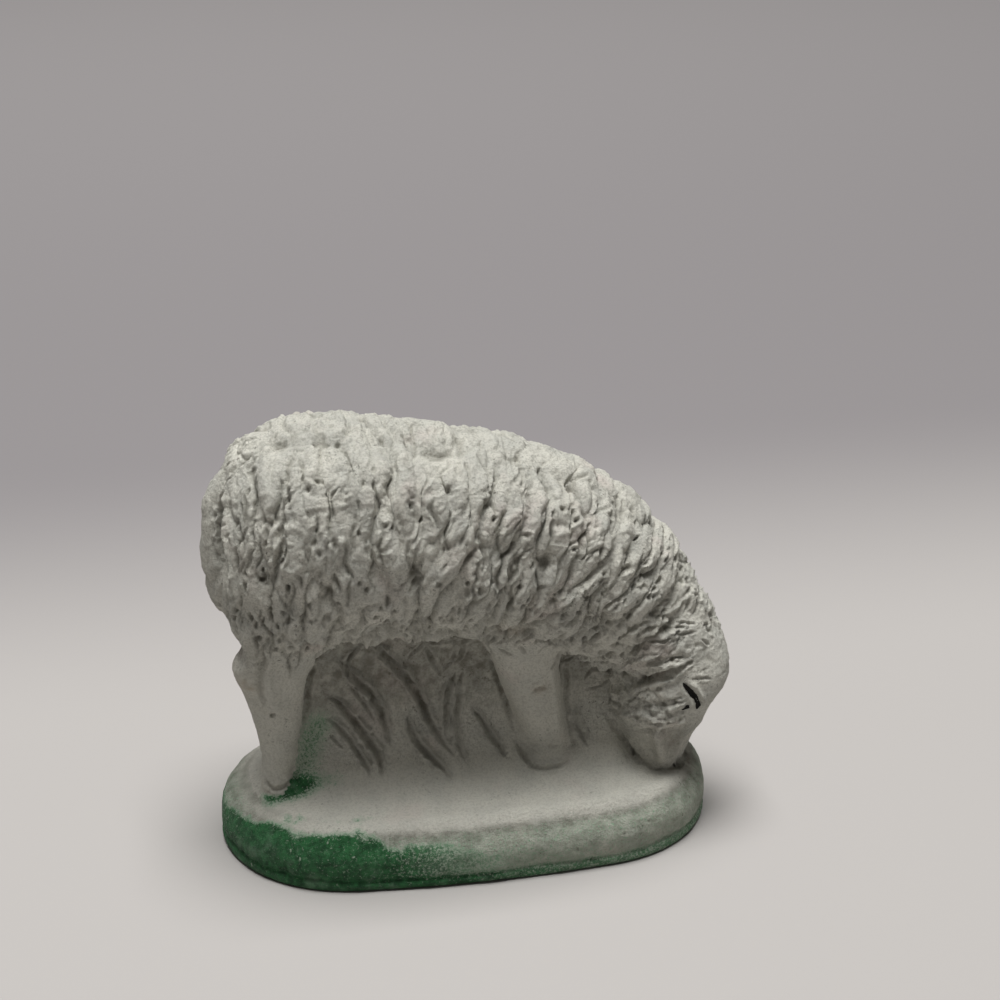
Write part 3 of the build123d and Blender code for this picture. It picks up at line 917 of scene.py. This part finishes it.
edge_points = from_photo(*GREEN_EDGE)
edge_normals = facing_at(edge_points)
edge = np.vstack([np.stack([bearing_of(edge_points), climb_of(edge_points, edge_normals)], 1), HIDDEN_EDGE])
edge = edge[np.argsort(edge[:, 0])]
bearing = bearing_of(base)
over_edge = climb_of(base, normal) - np.interp(bearing, edge[:, 0], edge[:, 1], period=360)
cover = np.interp(bearing, *np.array(GREEN_COVER).T)
below_edge = smooth_step(*EDGE_FADE, over_edge + noises(base, (0.6, 3.0, 31), (0.6, 1.1, 32)))
on_lip = smooth_step(*LIP_GREEN_HEIGHTS, height + noises(base, (0.5, 4.0, 33)))
painted_side = below_edge * cover + 0.45 * on_lip * (1 - 0.5 * cover)
front_tint = 0.26 * smooth_step(*TINT_HEIGHTS, height)
left_end = 0.3 * smooth_step(*LEFT_END_PLACES, place_x)
smear = 0.95 * near_line(SMEAR_LINE, SMEAR_REACH) * smooth_step(*SMEAR_HEIGHTS, height)
smear += 0.5 * near_line(TINT_LINE, TINT_REACH)
smear *= np.where(is_leg, smooth_step(*FOOT_GREEN_HEIGHTS, height), 1.0)
green = is_plinth * np.maximum.reduce([painted_side, front_tint, left_end])
green = np.clip(np.maximum(green, smear), 0, 1)

# Brown stains, and lightening to clean chalk from 0 to 1: wear, and painted light on top faces, the low legs
# and bank and the lit side of the muzzle

# Stains: the pixels, their reach, their strength
STAINS = [
    ([(246, 683), (250, 688)], 1.4, 0.8),
    ([(538, 689), (547, 687)], 1.0, 0.7),
    ([(508, 630), (516, 633)], 2.0, 0.4),
]
# Where painted light goes: top faces, the low legs and bank, and the lit side of the muzzle
TOP_FACING = (0.75, 0.95)
LEG_LIGHT_HEIGHTS = (44.0, 38.0)
BANK_LIGHT_HEIGHTS = (26.0, 15.0)
LIT_MUZZLE_LINE = [(642, 738), (652, 755)]
LIT_MUZZLE_REACH = 2.4

stain = np.zeros(len(base))
for pixels, reach, strength in STAINS:
    stain = np.maximum(stain, strength * near_line(pixels, reach))
wear_and_light = np.clip(rim / 0.25, 0, 1) + chips + 1.4 * burr * fleece + 0.8 * poll
# Painted light: the plinth's and bank's top faces made lighter
wear_and_light += (is_plinth | is_bank) * smooth_step(*TOP_FACING, facing_up)
# Lighter low legs: wear, and painted light where they stand out from the shaded bank
wear_and_light += 0.8 * (is_leg | is_hoof) * smooth_step(*LEG_LIGHT_HEIGHTS, height)
# Painted light: the bank lighter low down, below the belly's shade
wear_and_light += 0.9 * is_bank * smooth_step(*BANK_LIGHT_HEIGHTS, height)
# Painted light on the muzzle's lit side
wear_and_light += 0.8 * on_muzzle * near_line(LIT_MUZZLE_LINE, LIT_MUZZLE_REACH)
wear_and_light = np.clip(wear_and_light, 0, 1)
attributes = {"dirt_and_shade": dirt_and_shade, "green": green, "stain": stain, "wear_and_light": wear_and_light}


# Pieces


def surface_normals(points, faces):
    corners = points[faces]
    across = np.cross(corners[:, 2] - corners[:, 0], corners[:, 3] - corners[:, 1])
    total = np.zeros_like(points)
    for corner in range(4):
        np.add.at(total, faces[:, corner], across)
    return unit(total)


SINK_STEP = 0.35
LEAST_GAIN = 0.2 * SINK_STEP


def sunk(points, depth):
    """Points moved into the plaster, as far as its middle at most."""
    for _ in range(int(depth / SINK_STEP)):
        deeper = points - SINK_STEP * facing_at(points)
        better = fine.sample(skin, deeper) < fine.sample(skin, points) - LEAST_GAIN
        points = np.where(better[:, None], deeper, points)
    return points


def open_loops(faces):
    """The open edges of some faces, as loops of points."""
    edges = np.stack([faces, np.roll(faces, -1, 1)], 2).reshape(-1, 2)
    there = set(map(tuple, edges.tolist()))
    following = {}
    for start, end in there:
        if (end, start) not in there:
            following.setdefault(start, []).append(end)
    loops = []
    while following:
        first = min(following)
        loop = [first]
        while True:
            after = following[loop[-1]].pop()
            if not following[loop[-1]]:
                del following[loop[-1]]
            if after == first:
                break
            loop.append(after)
        loops.append(loop)
    return loops


# Caps: rings sunk below the open edges, a second ring near the middle plane, and the centre of the fan
RING_DEPTH = 4.0
SMALL_LOOP = 12
TO_MIDDLE = np.array([1.0, 0.2, 1.0])
UNDERSIDE = 0.4
UNDERSIDE_FACING = -0.95
CORE_DEPTH = 3.0
CORE_COUNT = 12000
NEAR_CORES = 500
CORE_SKIP = 30
CORE_CLEARANCE = 2.6
CORE_NEARNESS = 0.004
SHALLOW = 1.2
SHALLOW_WEIGHT = 4
FAN_ENDS = 80
LINE_SHARES = np.linspace(0.08, 1, 12)[:, None, None]
deep = np.argwhere(skin < -CORE_DEPTH)
core = (RNG.permutation(deep)[:CORE_COUNT] + fine.start) * FINE_VOXEL


def line_depths(ends, centre):
    """How near to the outside, or how far out, the straight lines from some points to a centre come."""
    lines = ends + LINE_SHARES * (centre - ends)
    depths = fine.sample(skin, lines.reshape(-1, 3)).reshape(len(LINE_SHARES), -1)
    return np.maximum(depths.max(0), -CORE_DEPTH)


def fan_centre(ring):
    """The point inside the plaster to which straight lines from a ring stay the deepest."""
    ends = ring[:: max(1, len(ring) // FAN_ENDS)]
    away = np.linalg.norm(core - ring.mean(0), axis=1)
    choices = np.concatenate([np.argsort(away)[:NEAR_CORES], np.arange(0, len(core), CORE_SKIP)])
    depths = np.stack([line_depths(ends, core[choice]) for choice in choices])
    score = np.maximum(depths, -CORE_CLEARANCE).mean(1) + CORE_NEARNESS * away[choices]
    score += SHALLOW_WEIGHT * np.maximum(depths + SHALLOW, 0).mean(1)
    return core[choices[np.argmin(score)]]


def scene_object(name, data):
    made = bpy.data.objects.new(name, data)
    bpy.context.scene.collection.objects.link(made)
    return made


def add_piece(name, points, faces, material, normals, values):
    mesh = bpy.data.meshes.new(name)
    mesh.from_pydata(points * MILLIMETRE, [], faces)
    mesh.polygons.foreach_set("use_smooth", np.ones(len(mesh.polygons), bool))
    if normals is not None:
        mesh.normals_split_custom_set_from_vertices(normals.tolist())
    for key, value in values.items():
        attribute = mesh.attributes.new(key, "FLOAT", "POINT")
        attribute.data.foreach_set("value", value.astype(np.float32))
    mesh.materials.append(material)
    piece = scene_object(f"{name}_skin", mesh)
    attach(piece, "root")
    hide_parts(name)


def skin_piece(name, faces, material, shading):
    """One node's share of the skin, closed inside by a sunk ring and a fan over each open edge."""
    used, local = np.unique(faces, return_inverse=True)
    local = local.reshape(-1, 4)
    points = skin_points[used]
    inside = []
    caps = []
    for loop in open_loops(local):
        rings = []
        if points[loop][:, 2].max() > UNDERSIDE:
            rings.append(sunk(base[used][loop], RING_DEPTH))
        if name == "grass_bank" or name.endswith("leg"):
            rings.append(rings[0] * TO_MIDDLE)
        outer = loop
        for ring in rings:
            start = len(points) + len(inside)
            inner = list(range(start, start + len(loop)))
            inside.extend(ring)
            for index in range(len(loop)):
                caps.append((outer[index], outer[index - 1], inner[index - 1], inner[index]))
            outer = inner
        last = rings[-1] if rings else points[loop]
        apex = len(points) + len(inside)
        inside.append(fan_centre(last) if rings and len(loop) > SMALL_LOOP else last.mean(0))
        for index in range(len(loop)):
            caps.append((outer[index], outer[index - 1], apex))
    normals = np.vstack([shading[used], np.tile([0.0, 0.0, -1.0], (len(inside), 1))])
    values = {key: np.concatenate([value[used], np.zeros(len(inside))]) for key, value in attributes.items()}
    add_piece(name, np.vstack([points, inside]), local.tolist() + caps, material, normals, values)


PAINT_STEPS = 60
PAINT_COLUMNS = np.linspace(-1, 1, 9)
PAINT_THICKNESS = 0.12
PAINT_ROOT = 0.5
PAINT_LIFT = 0.03
PAINT_TAPERS = (0.55, 0.15)
PAINT_TIP = 0.03
RAGGED_PAINT = (0.6, 0.7)


def paint_strip(path, half_width, depth, seed):
    """A ragged stroke of paint on the floor of a cut, closed below: its points and faces."""
    lengths = np.concatenate([[0], np.cumsum(np.linalg.norm(np.diff(path, axis=0), axis=1))])
    places = np.linspace(0, lengths[-1], PAINT_STEPS)
    line = on_skin(np.stack([np.interp(places, lengths, path[:, axis]) for axis in range(3)], 1))
    facing = facing_at(line)
    aside = unit(np.cross(facing, np.gradient(line, axis=0)))
    share = places / lengths[-1]
    taper = np.minimum(share / PAINT_TAPERS[0], (1 - share) / PAINT_TAPERS[1])
    taper = np.sqrt(np.clip(taper, PAINT_TIP, 1))
    strips = []
    for side in (-1, 1):
        strips.append(half_width * taper * (1 + noises(line, (*RAGGED_PAINT, seed + side))))
    reach = np.where(PAINT_COLUMNS < 0, strips[0][:, None], strips[1][:, None])
    top = line[:, None] + (reach * PAINT_COLUMNS)[..., None] * aside[:, None]
    profile = depth * taper[:, None] * (1 - np.abs(PAINT_COLUMNS) / EYE_GROOVE) ** GROOVE_POWER
    lift = PAINT_THICKNESS * (1 - PAINT_COLUMNS**2) + PAINT_LIFT
    surface = top - (profile - lift)[..., None] * facing[:, None]
    under = surface - PAINT_ROOT * facing[:, None]
    columns = len(PAINT_COLUMNS)
    points = np.concatenate([surface.reshape(-1, 3), under.reshape(-1, 3)])
    below = PAINT_STEPS * columns
    tops = []
    for row in range(PAINT_STEPS - 1):
        for corner in range(row * columns, row * columns + columns - 1):
            tops.append((corner, corner + 1, corner + columns + 1, corner + columns))
    faces = tops + [tuple(below + index for index in reversed(quad)) for quad in tops]
    for border in open_loops(np.array(tops)):
        for start, after in zip(border, border[1:] + border[:1]):
            faces.append((after, start, below + start, below + after))
    return points, faces


def eye_piece(name, eye, lid, material):
    """The black stroke of an eye and the short one below it."""
    points, faces = paint_strip(eye, EYE_WIDTH, EYE_CUT, 51)
    lid_points, lid_faces = paint_strip(lid, EYE_WIDTH * LID_STROKE, LID_CUT, 54)
    faces += [tuple(len(points) + index for index in face) for face in lid_faces]
    points = np.vstack([points, lid_points])
    add_piece(name, points, faces, material, None, {})


# Materials


class Shader:
    """A node material with its nodes made and linked in one line each."""

    def __init__(self, name):
        self.material = bpy.data.materials.new(name)
        self.material.use_nodes = True
        self.tree = self.material.node_tree
        self.surface = self.tree.nodes["Principled BSDF"]

    def put(self, socket, value):
        if isinstance(value, bpy.types.NodeSocket):
            self.tree.links.new(value, socket)
        elif isinstance(value, tuple):
            socket.default_value = (*value, 1.0)
        else:
            socket.default_value = value

    def node(self, kind, inputs):
        made = self.tree.nodes.new(f"ShaderNode{kind}")
        for key, value in inputs.items():
            self.put(made.inputs[key], value)
        return made

    def attribute(self, name):
        made = self.node("Attribute", {})
        made.attribute_name = name
        return made.outputs["Fac"]

    def place(self):
        return self.node("TexCoord", {}).outputs["Object"]

    def noise(self, scale, detail=3.0, roughness=0.55):
        inputs = {"Vector": self.place(), "Scale": scale, "Detail": detail, "Roughness": roughness}
        return self.node("TexNoise", inputs).outputs["Fac"]

    def ramp(self, value, low, high, to_low=0.0, to_high=1.0):
        inputs = {"Value": value, "From Min": low, "From Max": high, "To Min": to_low, "To Max": to_high}
        made = self.node("MapRange", inputs)
        made.interpolation_type = "SMOOTHSTEP"
        return made.outputs["Result"]

    def maths(self, operation, one, other):
        made = self.node("Math", {0: one, 1: other})
        made.operation = operation
        made.use_clamp = operation != "SUBTRACT"
        return made.outputs[0]

    def mix(self, share, one, other):
        node = self.tree.nodes.new("ShaderNodeMix")
        node.data_type = "RGBA"
        self.put(node.inputs["Factor"], share)
        colours = [socket for socket in node.inputs if socket.type == "RGBA"]
        self.put(colours[0], one)
        self.put(colours[1], other)
        return [socket for socket in node.outputs if socket.type == "RGBA"][0]

    def bump(self, value, strength, distance):
        made = self.node("Bump", {"Height": value, "Strength": strength, "Distance": distance})
        self.put(self.surface.inputs["Normal"], made.outputs["Normal"])


CHALK = (0.70, 0.685, 0.605)
GREY_CHALK = (0.58, 0.575, 0.515)
BLUSH = (0.69, 0.60, 0.545)
# Grey used for dirt and for painted shade in cuts, corners and shaded places
DIRT_AND_SHADE = (0.195, 0.185, 0.150)
BROWN = (0.26, 0.17, 0.085)
DARK_GREEN = (0.010, 0.062, 0.020)
DEEP_GREEN = (0.030, 0.155, 0.050)
PALE_GREEN = (0.29, 0.44, 0.30)
SOOT = (0.10, 0.092, 0.07)
BLACK = (0.008, 0.007, 0.006)


def plaster_material(name):
    """Chalky plaster with dirt and painted shade in its cuts and shaded places, wear and painted light
    towards clean chalk, blush, brown stains and worn green paint.
    """
    shader = Shader(name)
    dirt_and_shade_value = shader.attribute("dirt_and_shade")
    colour = shader.mix(shader.ramp(shader.noise(160, 4.0), 0.35, 0.68), CHALK, GREY_CHALK)
    blush = shader.maths("MULTIPLY", shader.ramp(shader.noise(95, 2.0), 0.56, 0.74), 0.5)
    colour = shader.mix(blush, colour, BLUSH)
    # Darkened towards grey: dirt, and painted shade in cuts, corners and shaded places
    dirty_and_shaded = shader.maths("MULTIPLY", dirt_and_shade_value, shader.ramp(shader.noise(420, 4.0), 0.3, 0.7, 0.35, 0.95))
    colour = shader.mix(dirty_and_shaded, colour, DIRT_AND_SHADE)
    mottled = shader.ramp(shader.noise(2300, 3.0, 0.6), 0.47, 0.6, 0.0, 0.3)
    colour = shader.mix(mottled, colour, DIRT_AND_SHADE)
    clustered = shader.ramp(shader.noise(150, 2.0), 0.45, 0.7, 0.15, 0.8)
    specks = shader.maths("MULTIPLY", shader.ramp(shader.noise(1500, 3.0, 0.7), 0.59, 0.65), clustered)
    colour = shader.mix(specks, colour, SOOT)
    blotchy = shader.ramp(shader.noise(600, 3.0), 0.35, 0.65)
    colour = shader.mix(shader.maths("MULTIPLY", shader.attribute("stain"), blotchy), colour, BROWN)
    # Lightened towards clean chalk: wear, and painted light on top faces, the low legs and bank and the lit
    # side of the muzzle
    lightened = shader.maths("MULTIPLY", shader.attribute("wear_and_light"), 0.45)
    colour = shader.mix(lightened, colour, CHALK)

    green_value = shader.attribute("green")
    tinted = shader.maths("MULTIPLY", shader.ramp(green_value, 0.05, 0.6), 0.55)
    colour = shader.mix(tinted, colour, PALE_GREEN)
    patchy = shader.ramp(shader.noise(2200, 6.0, 0.75), 0.3, 0.7, -0.5, 0.5)
    painted = shader.ramp(shader.maths("ADD", green_value, patchy), 0.35, 0.75)
    chipped = shader.maths("MULTIPLY", shader.ramp(shader.noise(480, 3.0), 0.69, 0.72), 0.9)
    painted = shader.maths("MULTIPLY", painted, shader.maths("SUBTRACT", 1.0, chipped))
    deep_paint = shader.mix(shader.ramp(shader.noise(700, 5.0, 0.7), 0.35, 0.65), DARK_GREEN, DEEP_GREEN)
    paint = shader.mix(shader.ramp(green_value, 0.2, 0.85), PALE_GREEN, deep_paint)
    paint = shader.mix(shader.ramp(shader.noise(260, 3.0), 0.5, 0.75, 0.0, 0.3), paint, PALE_GREEN)
    colour = shader.mix(painted, colour, paint)
    shader.put(shader.surface.inputs["Base Color"], colour)
    shader.put(shader.surface.inputs["Roughness"], shader.ramp(painted, 0.0, 1.0, 0.93, 0.6))
    shader.surface.inputs["Specular IOR Level"].default_value = 0.3
    shader.bump(shader.noise(1900, 5.0, 0.75), 0.8, 0.001)
    return shader.material


def eye_material():
    """Black paint, worn thin where the noise is high."""
    shader = Shader("eye_paint")
    lightened = shader.maths("MULTIPLY", shader.ramp(shader.noise(1400, 3.0), 0.6, 0.72), 0.15)
    shader.put(shader.surface.inputs["Base Color"], shader.mix(lightened, BLACK, DIRT_AND_SHADE))
    shader.put(shader.surface.inputs["Roughness"], shader.ramp(shader.noise(2500), 0.3, 0.7, 0.6, 0.85))
    shader.surface.inputs["Specular IOR Level"].default_value = 0.2
    shader.bump(shader.noise(2600, 3.0), 0.3, 0.0002)
    return shader.material


plaster = plaster_material("plaster")
painted_plaster = plaster_material("plinth_paint")
black = eye_material()
shading = surface_normals(skin_points, quads)
face_label = label[quads[:, 0]]
underneath = (facing_up[quads].mean(1) < UNDERSIDE_FACING) & (height[quads].mean(1) < UNDERSIDE)
for index, name in enumerate(SOLID_NODES):
    faces = quads[(face_label == index) & ~underneath]
    if name == "plinth":
        skin_piece(name, faces, painted_plaster, shading)
    else:
        skin_piece(name, faces, plaster, shading)
for name, (eye, lid) in eye_paths.items():
    eye_piece(name, eye, lid, black)

# Camera, floor and light

CLIP_START = 0.01
camera_data = bpy.data.cameras.new("camera")
camera_data.lens = FOCAL_PIXELS / PHOTO_SIDE * SENSOR
camera_data.sensor_width = SENSOR
camera_data.clip_start = CLIP_START
camera = scene_object("camera", camera_data)
camera.location = CAMERA_PLACE * MILLIMETRE
camera.rotation_euler = (CAMERA_PITCH, 0, CAMERA_YAW)
bpy.context.scene.camera = camera

FLOOR_REACH = 4.0
FLOOR_NEAR = (0.42, 0.40, 0.383)
FLOOR_BEHIND = (0.235, 0.22, 0.223)
FLOOR_FAR = (0.35, 0.33, 0.33)
FLOOR_FADE = (0.05, 0.2)
FLOOR_RISE = (0.2, 0.9)
FLOOR_ROUGHNESS = 0.8
WORLD_COLOUR = (1.0, 0.98, 0.95, 1.0)
WORLD_STRENGTH = 0.12
LAMP_PLACE = (-0.04, -0.02, 1.5)
LAMP_SIZE = 0.8
LAMP_POWER = 31.5

corners = [(x * FLOOR_REACH, y * FLOOR_REACH, 0) for x, y in ((-1, -1), (1, -1), (1, 1), (-1, 1))]
floor_mesh = bpy.data.meshes.new("floor")
floor_mesh.from_pydata(corners, [], [(0, 1, 2, 3)])
floor_shader = Shader("floor")
away = floor_shader.node("SeparateXYZ", {"Vector": floor_shader.place()}).outputs["Y"]
floor_colour = floor_shader.mix(floor_shader.ramp(away, *FLOOR_FADE), FLOOR_NEAR, FLOOR_BEHIND)
floor_colour = floor_shader.mix(floor_shader.ramp(away, *FLOOR_RISE), floor_colour, FLOOR_FAR)
floor_shader.put(floor_shader.surface.inputs["Base Color"], floor_colour)
floor_shader.surface.inputs["Roughness"].default_value = FLOOR_ROUGHNESS
floor_mesh.materials.append(floor_shader.material)
floor = scene_object("floor", floor_mesh)

world = bpy.data.worlds.new("studio")
bpy.context.scene.world = world
world.use_nodes = True
background = world.node_tree.nodes["Background"]
background.inputs["Color"].default_value = WORLD_COLOUR
background.inputs["Strength"].default_value = WORLD_STRENGTH
lamp_data = bpy.data.lights.new("overhead", "AREA")
lamp_data.size = LAMP_SIZE
lamp_data.energy = LAMP_POWER
lamp = scene_object("overhead", lamp_data)
lamp.location = LAMP_PLACE
bpy.context.scene.view_settings.view_transform = "Standard"
